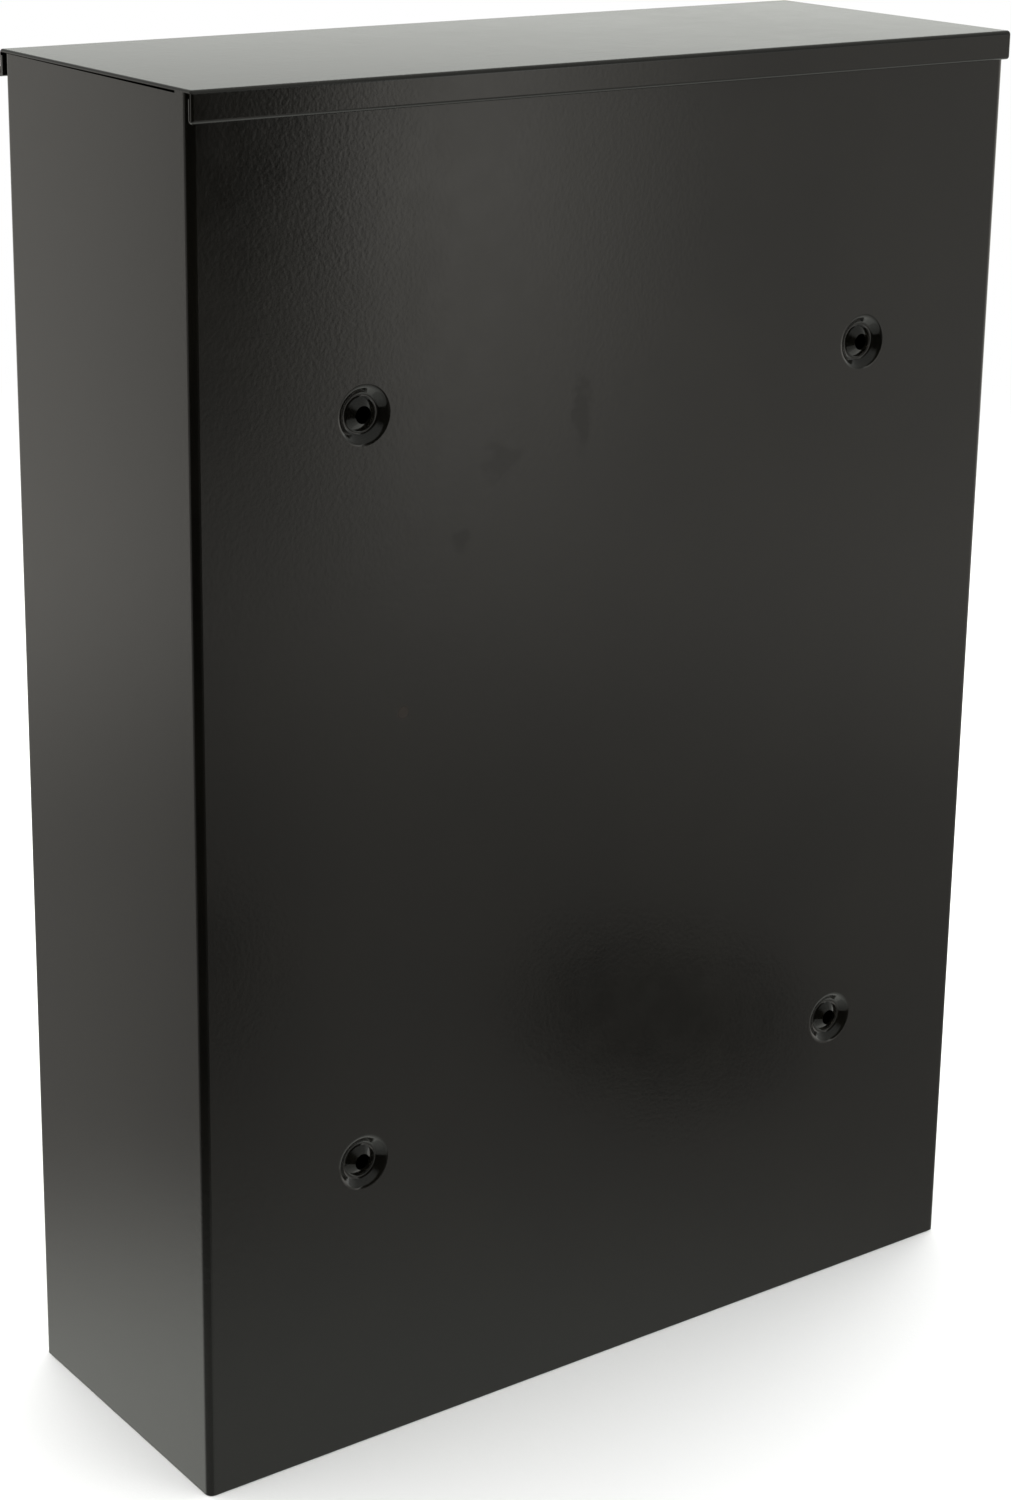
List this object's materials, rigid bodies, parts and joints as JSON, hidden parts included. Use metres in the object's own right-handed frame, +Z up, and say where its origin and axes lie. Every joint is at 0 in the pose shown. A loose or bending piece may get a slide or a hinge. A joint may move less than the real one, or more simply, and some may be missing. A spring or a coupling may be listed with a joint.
{
  "type": "wall mounted mailbox",
  "caption": "Flat-roofed steel wall mailbox with a hinged letter flap, a side-hung front door with a cam lock, and dished fixing holes in its back.",
  "frame": {"origin": "on the wall plane, in the middle of the rectangle of four wall fixing holes", "axes": "+Y into the wall, square to it; +Z up; +X to the right as seen from the front; the door faces -Y"},
  "size_m": [0.315, 0.1167, 0.4451],
  "materials": {
    "powder_coat": "black satin powder coat with a fine orange-peel texture",
    "zinc_steel": "bright zinc plating",
    "lock_chrome": "polished nickel chrome",
    "nylon": "natural moulded nylon",
    "bumper_rubber": "matt moulded rubber"
  },
  "bodies": {
    "case": {"body_shell": "powder_coat", "roof_panel": "powder_coat", "bottom_panel": "powder_coat", "slot_fascia": "powder_coat", "flap_rod": "zinc_steel", "flap_rod_clips": "zinc_steel", "flap_bumpers": "bumper_rubber", "door_bumpers": "bumper_rubber", "hinge_bush_lower": "nylon", "hinge_bush_upper": "nylon"},
    "door": {"door_panel": "powder_coat", "hinge_pin_lower": "zinc_steel", "hinge_pin_upper": "zinc_steel", "lock_body": "lock_chrome", "lock_washer": "zinc_steel", "lock_nut": "zinc_steel"},
    "lock_cylinder": {"lock_plug": "lock_chrome", "lock_cam": "zinc_steel", "cam_washer": "zinc_steel", "cam_screw": "zinc_steel"},
    "flap": {"slot_flap": "powder_coat"}
  },
  "joints": [
    {"name": "door_hinge", "type": "hinge", "parent": "case", "child": "door", "pos_m": [-0.136, -0.1074, 0], "axis": [0, 0, -1], "range_deg": [0, 100]},
    {"name": "lock_turn", "type": "hinge", "parent": "door", "child": "lock_cylinder", "pos_m": [0.122, -0.1124, 0.01175], "axis": [0, -1, 0], "range_deg": [0, 90]},
    {"name": "flap_hinge", "type": "hinge", "parent": "case", "child": "flap", "pos_m": [0, -0.1078, 0.20825], "axis": [-1, 0, 0], "range_deg": [0, 95]}
  ]
}
